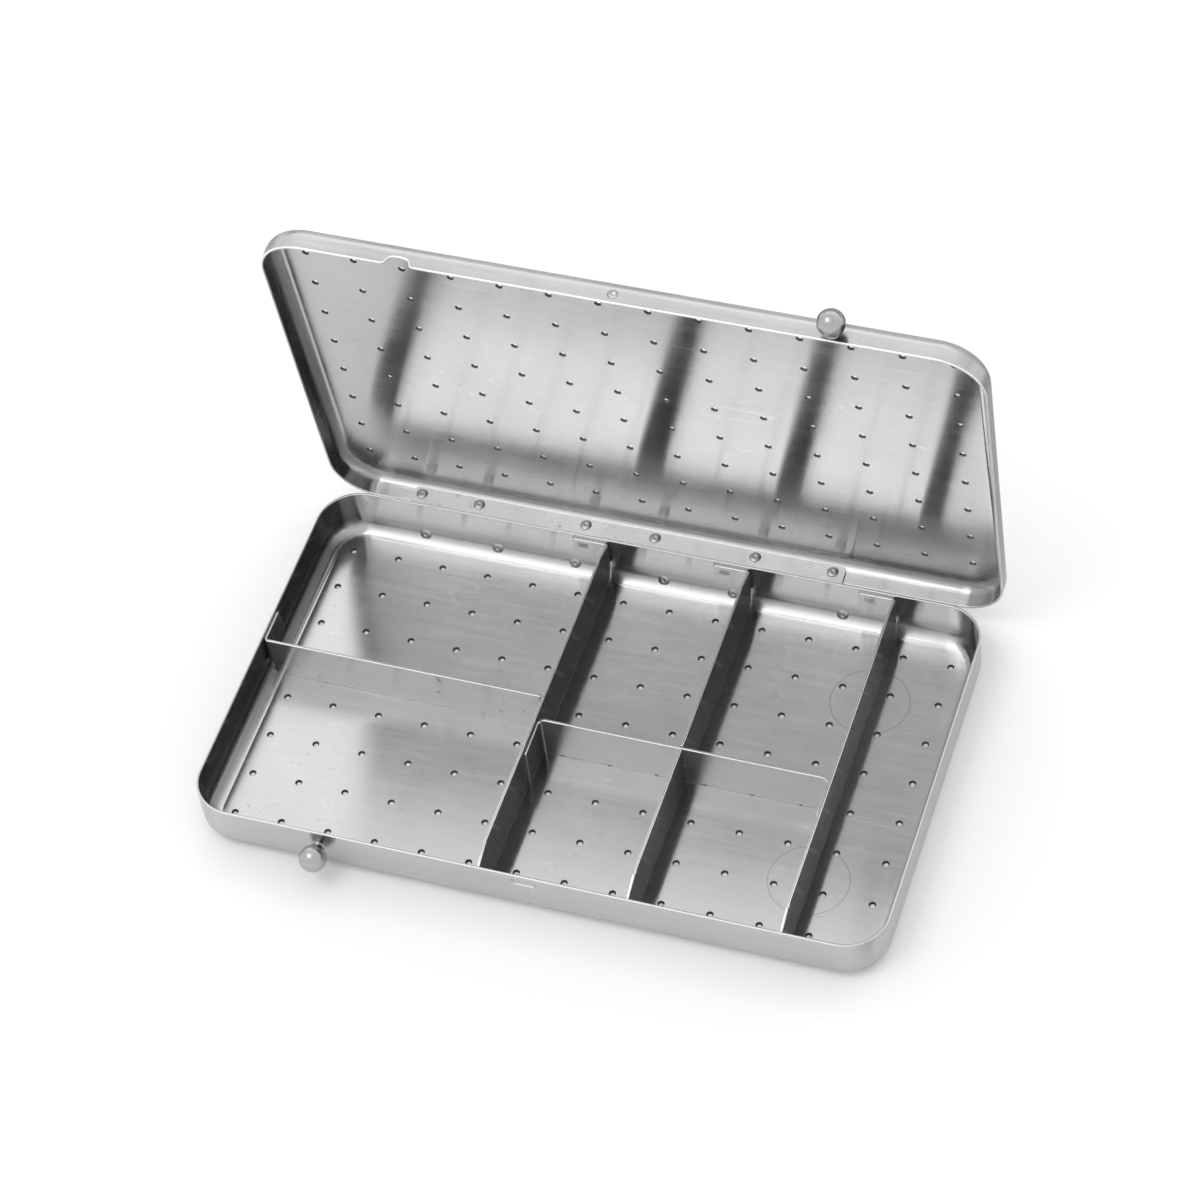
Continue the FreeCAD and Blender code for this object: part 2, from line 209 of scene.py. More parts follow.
def soft_step(tree, value, low, high):
    ramp = node(tree, "ShaderNodeMapRange", interpolation_type="SMOOTHSTEP")
    ramp.inputs["From Min"].default_value = low
    ramp.inputs["From Max"].default_value = high
    link(tree, value, ramp.inputs["Value"])
    return ramp.outputs["Result"]


def blend(tree, factor, first, second):
    mixed = node(tree, "ShaderNodeMix", data_type="FLOAT")
    link(tree, factor, mixed.inputs[0])
    link(tree, first, mixed.inputs[2])
    link(tree, second, mixed.inputs[3])
    return mixed.outputs[0]


FLOAT = "NodeSocketFloat"
VECTOR = "NodeSocketVector"

# %% [markdown]
# ### Brushed grain
# The grain runs along one direction, so the noise is stretched: slow along the grain and very fine
# across it. On the folded-up end walls the sheet's own direction points upwards. There the group swaps
# two of its directions, and it finds these walls by the normal of the surface.

# %% Group: grain
def build_grain():
    group, start, end = new_group("brushed_grain", [("Place", VECTOR, None), ("Normal", VECTOR, None),
                                                    ("Length", FLOAT, 60.0), ("Fineness", FLOAT, 5000.0)],
                                  [("Grain", FLOAT), ("Streaks", FLOAT)])
    parts = node(group, "ShaderNodeSeparateXYZ")
    link(group, start.outputs["Place"], parts.inputs[0])
    facing = node(group, "ShaderNodeSeparateXYZ")
    link(group, start.outputs["Normal"], facing.inputs[0])
    on_end_wall = soft_step(group, math_node(group, "ABSOLUTE", facing.outputs[0]), 0.6, 0.9)
    along = blend(group, on_end_wall, parts.outputs[0], parts.outputs[2])
    up = blend(group, on_end_wall, parts.outputs[2], parts.outputs[0])
    outputs = []
    for scale in (1.0, 0.22):
        joined = node(group, "ShaderNodeCombineXYZ")
        fine = math_node(group, "MULTIPLY", start.outputs["Fineness"], scale)
        link(group, math_node(group, "MULTIPLY", along, start.outputs["Length"]), joined.inputs[0])
        link(group, math_node(group, "MULTIPLY", parts.outputs[1], fine), joined.inputs[1])
        link(group, math_node(group, "MULTIPLY", up, fine), joined.inputs[2])
        noise = node(group, "ShaderNodeTexNoise", Scale=1.0, Detail=3.0, Roughness=0.6)
        link(group, joined.outputs[0], noise.inputs["Vector"])
        outputs.append(noise.outputs["Fac"])
    link(group, outputs[0], end.inputs["Grain"])
    link(group, outputs[1], end.inputs["Streaks"])
    return group


GRAIN = build_grain()

# %% [markdown]
# ### Handling marks
# Hands, water and hot steam leave soft clouds, small dark specks sit in the sheet, and needles and
# fingers leave a few hair scratches. Each scratch is the thin line where a stretched noise passes
# its middle value, broken up by a second noise so that it starts and stops.

# %% Group: clouds, specks and scratches
def build_marks():
    group, start, end = new_group("handling_marks", [("Place", VECTOR, None), ("Cloud Size", FLOAT, 60.0),
                                                     ("Speck Size", FLOAT, 900.0)],
                                  [("Clouds", FLOAT), ("Specks", FLOAT), ("Waves", FLOAT),
                                   ("Scratches", FLOAT)])
    clouds = node(group, "ShaderNodeTexNoise", Detail=5.0, Roughness=0.55)
    link(group, start.outputs["Place"], clouds.inputs["Vector"])
    link(group, start.outputs["Cloud Size"], clouds.inputs["Scale"])
    specks = node(group, "ShaderNodeTexNoise", Detail=2.0, Roughness=0.5)
    link(group, start.outputs["Place"], specks.inputs["Vector"])
    link(group, start.outputs["Speck Size"], specks.inputs["Scale"])
    waves = node(group, "ShaderNodeTexNoise", Scale=22.0, Detail=1.0, Roughness=0.4)
    link(group, start.outputs["Place"], waves.inputs["Vector"])
    turned = node(group, "ShaderNodeMapping", Rotation=(0.4, 0.3, 0.9), Scale=(25.0, 260.0, 260.0))
    link(group, start.outputs["Place"], turned.inputs["Vector"])
    lines = node(group, "ShaderNodeTexNoise", Scale=1.0, Detail=1.0, Roughness=0.5)
    link(group, turned.outputs[0], lines.inputs["Vector"])
    from_middle = math_node(group, "ABSOLUTE", math_node(group, "SUBTRACT", lines.outputs["Fac"], 0.5))
    thin = soft_step(group, from_middle, 0.006, 0.0)
    broken = soft_step(group, clouds.outputs["Fac"], 0.50, 0.62)
    link(group, clouds.outputs["Fac"], end.inputs["Clouds"])
    link(group, soft_step(group, specks.outputs["Fac"], 0.66, 0.80), end.inputs["Specks"])
    link(group, waves.outputs["Fac"], end.inputs["Waves"])
    link(group, math_node(group, "MULTIPLY", thin, broken), end.inputs["Scratches"])
    return group


MARKS = build_marks()

# %% [markdown]
# ### Which way the brushing runs
# Brushed steel reflects sharply along its grain and blurs across it. The shader calls the blurred
# direction the tangent. On floor, lid panel and end walls it lies front to back, and on the front and
# back walls it stands up. The lid's pieces are modelled closed and turned open, so their two
# directions are turned by the same angle.

# %% Direction across the grain
def across_grain(tree, normal, drawn, with_lid):
    turn = Matrix.Rotation(OPEN_TURN if with_lid else 0.0, 3, "X")
    upright = turn @ Vector((0.05, 0.05, 1.0))
    if not drawn:
        direction = node(tree, "ShaderNodeCombineXYZ", X=upright.x, Y=upright.y, Z=upright.z).outputs[0]
    else:
        flat = turn @ Vector((0.0, 1.0, 0.0))
        facing = node(tree, "ShaderNodeVectorMath", operation="DOT_PRODUCT")
        link(tree, normal, facing.inputs[0])
        facing.inputs[1].default_value = flat
        on_wall = soft_step(tree, math_node(tree, "ABSOLUTE", facing.outputs["Value"]), 0.5, 0.85)
        mixed = node(tree, "ShaderNodeMix", data_type="VECTOR")
        link(tree, on_wall, mixed.inputs["Factor"])
        mixed.inputs[4].default_value = flat
        mixed.inputs[5].default_value = upright
        direction = mixed.outputs[1]
    to_world = node(tree, "ShaderNodeVectorTransform", vector_type="VECTOR", convert_from="OBJECT",
                    convert_to="WORLD")
    link(tree, direction, to_world.inputs[0])
    return to_world.outputs[0]


# %% [markdown]
# ### Drawn bends, ring marks and weld marks
# The die stretches the sheet where it bends, and leaves it duller there. A bend is found by its normal,
# which points along none of the three directions of the case. Two faint rings are pressed into the
# floor at the right divider, and the ears of the long dividers carry a burnt patch from spot welding.

# %% Masks for bends, rings and welds
RING_X = 46.3 * MM
RING_Y = 20.3 * MM
RING_RADIUS = 7.3 * MM
WELD_X = (-13.6 * MM, 14.0 * MM, 41.8 * MM)
WELD_Z = 7.9 * MM


def largest(tree, values):
    found = values[0]
    for value in values[1:]:
        found = math_node(tree, "MAXIMUM", found, value)
    return found


def drawn_bends(tree, normal, with_lid):
    turn = Matrix.Rotation(OPEN_TURN if with_lid else 0.0, 3, "X")
    shares = []
    for axis in ((1, 0, 0), (0, 1, 0), (0, 0, 1)):
        facing = node(tree, "ShaderNodeVectorMath", operation="DOT_PRODUCT")
        link(tree, normal, facing.inputs[0])
        facing.inputs[1].default_value = turn @ Vector(axis)
        shares.append(math_node(tree, "ABSOLUTE", facing.outputs["Value"]))
    return soft_step(tree, largest(tree, shares), 0.99, 0.85)


def ring_marks(tree, place):
    rings = []
    for y in (-RING_Y, RING_Y):
        away = node(tree, "ShaderNodeVectorMath", operation="DISTANCE")
        link(tree, place, away.inputs[0])
        away.inputs[1].default_value = (RING_X, y, SHEET)
        from_ring = math_node(tree, "SUBTRACT", away.outputs["Value"], RING_RADIUS)
        rings.append(soft_step(tree, math_node(tree, "ABSOLUTE", from_ring), 0.16 * MM, 0.04 * MM))
    return largest(tree, rings)


def weld_marks(tree, place):
    patches = []
    for x in WELD_X:
        away = node(tree, "ShaderNodeVectorMath", operation="SUBTRACT")
        link(tree, place, away.inputs[0])
        away.inputs[1].default_value = (x, 0, WELD_Z)
        parts = node(tree, "ShaderNodeSeparateXYZ")
        link(tree, away.outputs["Vector"], parts.inputs[0])
        wide = soft_step(tree, math_node(tree, "ABSOLUTE", parts.outputs[0]), 1.1 * MM, 0.8 * MM)
        tall = soft_step(tree, math_node(tree, "ABSOLUTE", parts.outputs[2]), 0.8 * MM, 0.5 * MM)
        patches.append(math_node(tree, "MULTIPLY", wide, tall))
    return largest(tree, patches)


# %% [markdown]
# ### One steel, several finishes
# The shader itself is a plain metal. Grain, clouds, specks and scratches only shift its colour and
# roughness by a little, and feed the bump. What differs from piece to piece is which way the grain
# runs, how glossy the sheet is, and how strong each effect shows.

# %% Build a steel finish
def steel(name, tone, roughness, grain_axis="X", brushed=0.0, drawn=False, with_lid=False, grain=0.05,
          specks=0.25, speck_size=900.0, scratches=0.10, waves=0.05, bump=0.25, rings=False, welds=False):
    material = bpy.data.materials.new(name)
    material.use_nodes = True
    tree = material.node_tree
    shader = tree.nodes["Principled BSDF"]
    shader.inputs["Metallic"].default_value = 1.0
    shader.inputs["Anisotropic"].default_value = brushed
    coordinates = node(tree, "ShaderNodeTexCoord")
    place = coordinates.outputs["Object"]
    normal = coordinates.outputs["Normal"]
    if brushed > 0:
        link(tree, across_grain(tree, normal, drawn, with_lid), shader.inputs["Tangent"])
    turned = node(tree, "ShaderNodeMapping", vector_type="POINT")
    if grain_axis == "Y":
        turned.inputs["Rotation"].default_value = (0, 0, math.pi / 2)
    link(tree, place, turned.inputs["Vector"])
    lines = node(tree, "ShaderNodeGroup", node_tree=GRAIN)
    link(tree, turned.outputs[0], lines.inputs["Place"])
    if drawn:
        link(tree, normal, lines.inputs["Normal"])
    marks = node(tree, "ShaderNodeGroup", node_tree=MARKS)
    marks.inputs["Speck Size"].default_value = speck_size
    link(tree, place, marks.inputs["Place"])
    streaks = math_node(tree, "SUBTRACT", lines.outputs["Streaks"], 0.5)
    clouds = math_node(tree, "SUBTRACT", marks.outputs["Clouds"], 0.5)
    uneven = math_node(tree, "ADD", math_node(tree, "MULTIPLY", streaks, grain * 2),
                       math_node(tree, "MULTIPLY", clouds, 0.10))
    dark = math_node(tree, "MULTIPLY", marks.outputs["Specks"], specks)
    bright = math_node(tree, "MULTIPLY", marks.outputs["Scratches"], scratches)
    value = math_node(tree, "SUBTRACT", math_node(tree, "ADD", uneven, tone), dark)
    value = math_node(tree, "ADD", value, bright)
    if rings:
        value = math_node(tree, "SUBTRACT", value, math_node(tree, "MULTIPLY", ring_marks(tree, place), 0.14))
    if welds:
        burnt = math_node(tree, "MULTIPLY", weld_marks(tree, place), marks.outputs["Clouds"])
        value = math_node(tree, "SUBTRACT", value, math_node(tree, "MULTIPLY", burnt, 0.45))
    colour = node(tree, "ShaderNodeCombineColor")
    link(tree, value, colour.inputs[0])
    link(tree, value, colour.inputs[1])
    link(tree, math_node(tree, "MULTIPLY", value, 1.01), colour.inputs[2])
    link(tree, colour.outputs[0], shader.inputs["Base Color"])
    gloss = math_node(tree, "ADD", math_node(tree, "MULTIPLY", clouds, 0.12), roughness)
    gloss = math_node(tree, "ADD", math_node(tree, "MULTIPLY", streaks, grain * 1.5), gloss)
    if drawn:
        dull = math_node(tree, "MULTIPLY", drawn_bends(tree, normal, with_lid), 0.14)
        gloss = math_node(tree, "ADD", gloss, dull)
    link(tree, gloss, shader.inputs["Roughness"])
    height = math_node(tree, "ADD", math_node(tree, "MULTIPLY", lines.outputs["Grain"], 0.004),
                       math_node(tree, "MULTIPLY", marks.outputs["Waves"], waves))
    height = math_node(tree, "SUBTRACT", height, math_node(tree, "MULTIPLY", bright, 0.05))
    relief = node(tree, "ShaderNodeBump", Strength=bump, Distance=1.0 * MM)
    link(tree, height, relief.inputs["Height"])
    link(tree, relief.outputs[0], shader.inputs["Normal"])
    return material


FINISH = {
    "tray": steel("brushed_tray_steel", 0.56, 0.17, brushed=1.0, drawn=True, specks=0.10, rings=True),
    "lid": steel("brushed_lid_steel", 0.53, 0.17, brushed=1.0, drawn=True, with_lid=True, specks=0.10,
                 waves=0.03),
    # The rim finishes are far lighter than the sheet: partly rubbed wear, partly a painted highlight along
    # the rounded edges.
    "edge": steel("rubbed_and_highlit_edge_steel", 0.92, 0.45, grain=0.02, waves=0.0),
    "tray_edge": steel("worn_and_highlit_tray_edge_steel", 0.64, 0.40, grain=0.02, waves=0.0),
    # The hole walls are painted very dark as painted shade inside the holes; their roughness is the dull torn
    # wall.
    "hole": steel("dull_and_shaded_hole_steel", 0.14, 0.55, grain=0.02, waves=0.0),
    "long_divider": steel("brushed_divider_steel", 0.50, 0.24, grain_axis="Y", brushed=0.95, welds=True),
    "cross_divider": steel("stained_divider_steel", 0.46, 0.33, brushed=0.8, specks=0.3,
                           speck_size=420.0, waves=0.0),
    "base_hinge": steel("hinge_steel", 0.54, 0.26, brushed=0.9, grain=0.03),
    "lid_hinge": steel("lid_hinge_steel", 0.56, 0.26, brushed=0.9, with_lid=True, grain=0.03),
    "rivet": steel("rivet_steel", 0.47, 0.36, grain=0.01, waves=0.0),
    "knob": steel("satin_knob_steel", 0.44, 0.29, grain=0.01, specks=0.1, waves=0.0),
}
print("finishes:", len(FINISH))


def coat(piece, *finishes):
    piece.data.materials.clear()
    for finish in finishes:
        piece.data.materials.append(FINISH[finish])


def dress(piece, slot, body, *nodes):
    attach(piece, body)
    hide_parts(*nodes)


def redress_solid(name, finish):
    solid = frame["nodes"][name]
    for socket in solid.material_slots:
        socket.material = FINISH[finish]


for name in ("base_hinge_leaf", "hinge_pin"):
    redress_solid(name, "base_hinge")
redress_solid("lid_hinge_leaf", "lid_hinge")

# %% [markdown]
# ## Turned pieces
# Knobs and rivets are round, so each starts as a small circle that is extruded and scaled step by step
# along its axis, the way a lathe tool follows a profile. The same helper makes the punch for the holes.

# %% Extrude a circle along a profile
def turned_piece(name, profile, segments):
    let_go()
    first_radius, first_height = profile[0]
    bpy.ops.mesh.primitive_circle_add(vertices=segments, radius=first_radius, fill_type="NGON",
                                      location=(0, 0, first_height))
    piece = bpy.context.object
    piece.name = name
    apply_place(piece)
    bpy.ops.object.mode_set(mode="EDIT")
    bpy.ops.mesh.select_all(action="SELECT")
    radius, height = first_radius, first_height
    for next_radius, next_height in profile[1:]:
        step = {"value": (0, 0, next_height - height)}
        bpy.ops.mesh.extrude_region_move(TRANSFORM_OT_translate=step)
        scale = next_radius / radius
        bpy.ops.transform.resize(value=(scale, scale, 1), center_override=(0, 0, next_height))
        radius, height = next_radius, next_height
    bpy.ops.mesh.select_all(action="SELECT")
    bpy.ops.mesh.normals_make_consistent(inside=False)
    bpy.ops.object.mode_set(mode="OBJECT")
    return piece


def stand(piece, place, direction):
    piece.rotation_euler = Vector(direction).to_track_quat("Z", "Y").to_euler()
    piece.location = place
    apply_place(piece)


def join(name, pieces):
    let_go()
    for piece in pieces:
        piece.select_set(True)
    bpy.context.view_layer.objects.active = pieces[0]
    bpy.ops.object.join()
    pieces[0].name = name
    return pieces[0]


# %% [markdown]
# ## Drawn sheet
# Tray and lid are deep drawn: one flat sheet pushed into a die. A block without its open side has the
# right shape once its upright edges and the edges of its flat side are bevelled round. Solidify then
# gives the sheet its thickness, inwards from the outer face, and a narrow bevel rounds the rim. The
# bevel's faces get the lighter edge finish: partly the rubbed rim of a used case, partly a painted
# highlight along the rim.

# %% A drawn shell from a block
BEND_STEPS = 8
CORNER_STEPS = 12
RIM_ROUND = 0.22 * MM


def is_upright(piece, edge):
    ends = [piece.data.vertices[index].co for index in edge.vertices]
    return abs(ends[0].z - ends[1].z) > MM


def drawn_shell(name, low, high, corner, bend, panel):
    piece = add_block(name, low, high)
    open_side = low[2] if panel == high[2] else high[2]
    pick(piece, "FACE", lambda face: abs(face.center.z - open_side) < SHEET / 2)
    bpy.ops.mesh.delete(type="FACE")
    pick(piece, "EDGE", lambda edge: is_upright(piece, edge))
    bpy.ops.mesh.bevel(offset=corner, segments=CORNER_STEPS, affect="EDGES")
    pick(piece, "EDGE", lambda edge: abs(centre_of(piece, edge).z - panel) < SHEET / 2)
    bpy.ops.mesh.bevel(offset=bend, segments=BEND_STEPS, affect="EDGES")
    bpy.ops.mesh.select_all(action="SELECT")
    bpy.ops.mesh.normals_make_consistent(inside=False)
    bpy.ops.object.mode_set(mode="OBJECT")
    return piece


def check_outward(piece, panel, upward):
    flat = max(piece.data.polygons, key=lambda face: face.area)
    if (flat.normal.z > 0) != upward:
        piece.data.flip_normals()


# The rounded faces take the second slot, the lighter edge finish, which paints a highlight along each rim.
def round_rim(piece, width):
    finish_with(piece, "BEVEL", width=width, segments=3, limit_method="ANGLE",
                angle_limit=math.radians(50), material=1, use_clamp_overlap=False)


def give_thickness(piece):
    finish_with(piece, "SOLIDIFY", thickness=SHEET, offset=-1.0, use_even_offset=True)
    round_rim(piece, RIM_ROUND)


# %% [markdown]
# ## Punched holes
# The punch goes in from the inside. It leaves each hole with a small rounded lip and a wall that
# narrows towards the outside. The cutter is a spool that widens at both faces of the sheet. One spool
# is modelled, two array modifiers copy it over the grid, and one Boolean cuts
# the whole sheet. The spool's own finish stays on the walls of the holes: rough, as torn walls are dull
# on the real sheet, and painted very dark as the shade inside the holes. Cutting leaves a few faces
# with no area, so the sheet is split into triangles and those are dissolved.

# %% The hole grid
COLUMNS = 14
ROWS = 8
HOLE = 0.6 * MM
HOLE_OUTSIDE = 0.44 * MM
LIP = 0.07 * MM
HOLE_SIDES = 16


def drop_empty_faces(piece):
    pick(piece, "FACE", lambda face: True)
    bpy.ops.mesh.quads_convert_to_tris(quad_method="BEAUTY", ngon_method="BEAUTY")
    bpy.ops.mesh.dissolve_degenerate(threshold=MM / 1000)
    bpy.ops.object.mode_set(mode="OBJECT")


def punch_holes(piece, pitch, middle_y, inner_face, outward):
    profile = []
    for radius, depth in ((HOLE + 2 * LIP, -LIP), (HOLE + LIP, 0), (HOLE + 0.3 * LIP, 0.7 * LIP),
                          (HOLE, 1.6 * LIP), (HOLE_OUTSIDE, SHEET - LIP), (HOLE_OUTSIDE + LIP, SHEET),
                          (HOLE_OUTSIDE + 2 * LIP, SHEET + LIP)):
        profile.append((radius, inner_face + outward * depth))
    spool = turned_piece("punch", profile, HOLE_SIDES)
    corner = (-(COLUMNS - 1) / 2 * pitch, middle_y - (ROWS - 1) / 2 * pitch, 0)
    spool.location = corner
    apply_place(spool)
    finish_with(spool, "ARRAY", count=COLUMNS, use_relative_offset=False, use_constant_offset=True,
                constant_offset_displace=(pitch, 0, 0))
    finish_with(spool, "ARRAY", count=ROWS, use_relative_offset=False, use_constant_offset=True,
                constant_offset_displace=(0, pitch, 0))
    # The punch's finish paints the shade inside each hole onto its wall.
    coat(spool, "hole")
    cut_away(piece, spool, materials="TRANSFER")
    drop_empty_faces(piece)


# %% [markdown]
# ## The catch
# A slot pressed into the tray's front and a dimple pressed into the lid's front click together when
# the case closes. The slot is a bar with round ends: a block whose upright edges are bevelled, widened
# where it meets the outer face. A larger bar behind it keeps the sheet's thickness.

# %% Bars with round ends for the slot
def round_bar(name, middle, length, height, front, back, flare):
    low = (middle[0] - length / 2, front, middle[1] - height / 2)
    high = (middle[0] + length / 2, back, middle[1] + height / 2)
    bar = add_block(name, low, high)
    along = lambda edge: abs((bar.data.vertices[edge.vertices[0]].co
                              - bar.data.vertices[edge.vertices[1]].co).y) > MM / 10
    pick(bar, "EDGE", along)
    bpy.ops.mesh.bevel(offset=height / 2 * 0.98, segments=6, affect="EDGES")
    bpy.ops.object.mode_set(mode="OBJECT")
    if flare:
        pick(bar, "FACE", lambda face: face.normal.y < -0.9)
        bpy.ops.transform.resize(value=(1 + 2 * flare / length, 1, 1 + 2 * flare / height))
        bpy.ops.object.mode_set(mode="OBJECT")
    return bar


CATCH_PLACE = (0.0, 8.4 * MM)
CATCH_LENGTH = 4.6 * MM
CATCH_HEIGHT = 1.5 * MM
CATCH_DEPTH = 0.4 * MM


def press_slot(piece):
    front = -TRAY_HALF_Y
    inner = front + SHEET
    bump = round_bar("slot_back", CATCH_PLACE, CATCH_LENGTH + 0.7 * MM, CATCH_HEIGHT + 0.7 * MM,
                     inner - SHEET / 2, inner + CATCH_DEPTH, 0)
    pick(bump, "FACE", lambda face: face.normal.y > 0.9)
    bpy.ops.mesh.bevel(offset=0.25 * MM, segments=3, affect="EDGES")
    bpy.ops.object.mode_set(mode="OBJECT")
    cut_away(piece, bump, "UNION")
    recess = round_bar("slot_front", CATCH_PLACE, CATCH_LENGTH - 0.3 * MM, CATCH_HEIGHT - 0.3 * MM,
                       front - 0.1 * MM, front + 0.7 * CATCH_DEPTH, 0.35 * MM)
    cut_away(piece, recess)


# %% Model the tray
def make_tray():
    low = (-TRAY_HALF_X, -TRAY_HALF_Y, 0)
    high = (TRAY_HALF_X, TRAY_HALF_Y, TRAY_TOP)
    tray = drawn_shell("tray_sheet", low, high, 8.0 * MM, 3.3 * MM, 0)
    check_outward(tray, 0, False)
    coat(tray, "tray", "tray_edge")
    give_thickness(tray)
    press_slot(tray)
    punch_holes(tray, 9.0 * MM, 0, SHEET, -1)
    smooth(tray)
    dress(tray, "tray_sheet", "base", "base_tray")
    print("tray faces:", len(tray.data.polygons))


make_tray()

# %% [markdown]
# ## The lid
# The lid is a second, shallower drawn shell that slips over the tray. Its front wall has a notch that
# clears the tray's knob, with a soft arch over it, and a dimple that clicks into the tray's slot.

# %% Model the lid
LID_TOP = 12.1 * MM
LID_RIM = 6.8 * MM
LID_FRONT = -39.4 * MM
LID_BACK = 40.85 * MM
NOTCH_X = -38.8 * MM
NOTCH_HALF = 2.1 * MM
NOTCH_HEIGHT = 1.75 * MM
NOTCH_FLARE = 0.7 * MM
NOTCH_STEPS = 12
DIMPLE_PLACE = (0.2 * MM, LID_FRONT, 8.6 * MM)


def notch_width(height):
    arch = NOTCH_HALF * (1 - (height / NOTCH_HEIGHT) ** 3) ** (1 / 3)
    flare = NOTCH_FLARE * max(0.0, 1 - height / NOTCH_FLARE) ** 2
    return max(arch, NOTCH_HALF / 8) + flare


def cut_notch(piece):
    let_go()
    half, height = notch_width(NOTCH_HEIGHT), NOTCH_HEIGHT
    bpy.ops.mesh.primitive_plane_add(size=2, location=(NOTCH_X, LID_FRONT + SHEET / 2, LID_RIM + height))
    cutter = bpy.context.object
    cutter.scale = (half, 2 * SHEET, 1)
    apply_place(cutter)
    bpy.ops.object.mode_set(mode="EDIT")
    bpy.ops.mesh.select_all(action="SELECT")
    lower = [NOTCH_HEIGHT * (1 - step / NOTCH_STEPS) for step in range(1, NOTCH_STEPS + 1)]
    for next_height in lower + [-NOTCH_HEIGHT]:
        next_half = notch_width(max(0.0, next_height))
        step = {"value": (0, 0, next_height - height)}
        bpy.ops.mesh.extrude_region_move(TRANSFORM_OT_translate=step)
        bpy.ops.transform.resize(value=(next_half / half, 1, 1), center_override=(NOTCH_X, 0, 0))
        half, height = next_half, next_height
    bpy.ops.mesh.select_all(action="SELECT")
    bpy.ops.mesh.normals_make_consistent(inside=False)
    bpy.ops.object.mode_set(mode="OBJECT")
    cut_away(piece, cutter)


def press_dimple(piece):
    steps = [math.radians(angle) for angle in range(0, 90, 15)]
    bump_radius = 1.15 * MM
    bump = [(bump_radius * math.cos(a), 0.2 * MM * math.sin(a)) for a in steps]
    bump = turned_piece("dimple_back", [(bump_radius, -SHEET / 2)] + bump, 24)
    stand(bump, (DIMPLE_PLACE[0], LID_FRONT + SHEET, DIMPLE_PLACE[2]), (0, 1, 0))
    cut_away(piece, bump, "UNION")
    hollow_radius = 0.95 * MM
    hollow = [(hollow_radius * math.cos(a), 0.45 * MM * math.sin(a)) for a in steps]
    hollow = turned_piece("dimple_front", [(hollow_radius + 0.15 * MM, -0.1 * MM)] + hollow, 24)
    stand(hollow, DIMPLE_PLACE, (0, 1, 0))
    cut_away(piece, hollow)


def make_lid():
    low = (-LID_HALF_X, LID_FRONT, LID_RIM)
    high = (LID_HALF_X, LID_BACK, LID_TOP)
    lid = drawn_shell("lid_sheet", low, high, 9.0 * MM, 2.8 * MM, LID_TOP)
    check_outward(lid, LID_TOP, True)
    coat(lid, "lid", "edge")
    finish_with(lid, "SOLIDIFY", thickness=SHEET, offset=-1.0, use_even_offset=True)
    cut_notch(lid)
    round_rim(lid, RIM_ROUND)
    press_dimple(lid)
    punch_holes(lid, 9.07 * MM, 0.6 * MM, LID_TOP - SHEET, 1)
    smooth(lid)
    open_with_lid(lid)
    dress(lid, "lid_sheet", "lid", "lid_shell")
    print("lid faces:", len(lid.data.polygons))


make_lid()

# %% [markdown]
# ## Dividers
# Each divider is a strip of the same sheet with both ends bent into ears, which are spot welded to the
# walls. The strip starts as one flat rectangle. Its ends are extruded to the wall and then along it, the
# folded edge is bevelled round, the lower corners are rounded to follow the tray's bend, and Solidify
# gives the thickness. It is modelled along X with its outer face at Y = 0, and then turned into place.

# %% A bent strip
EAR_BEND = 1.0 * MM
BEND_GAP = 0.05 * MM
WALL_FOOT = 3.5 * MM
FLOOR_CORNER = 2.7 * MM


def add_strip(name, left, right, low, high):
    let_go()
    bpy.ops.mesh.primitive_plane_add(size=1, location=((left + right) / 2, 0, (low + high) / 2),
                                     rotation=(math.pi / 2, 0, 0))
    strip = bpy.context.object
    strip.name = name
    strip.scale = (right - left, high - low, 1)
    apply_place(strip)
    return strip


def slice_at(piece, place, direction):
    pick(piece, "FACE", lambda face: True)
    bpy.ops.mesh.bisect(plane_co=place, plane_no=direction)
    bpy.ops.object.mode_set(mode="OBJECT")


def bend_ear(strip, at, outward, ear, foot):
    edge_test = lambda edge: (abs(centre_of(strip, edge).x - at) < BEND_GAP / 2
                              and centre_of(strip, edge).z > foot - BEND_GAP)
    pick(strip, "EDGE", edge_test)
    step = {"value": (outward * (EAR_BEND + BEND_GAP), 0, 0)}
    bpy.ops.mesh.extrude_region_move(TRANSFORM_OT_translate=step)
    bpy.ops.mesh.extrude_region_move(TRANSFORM_OT_translate={"value": (0, ear, 0)})
    bpy.ops.object.mode_set(mode="OBJECT")


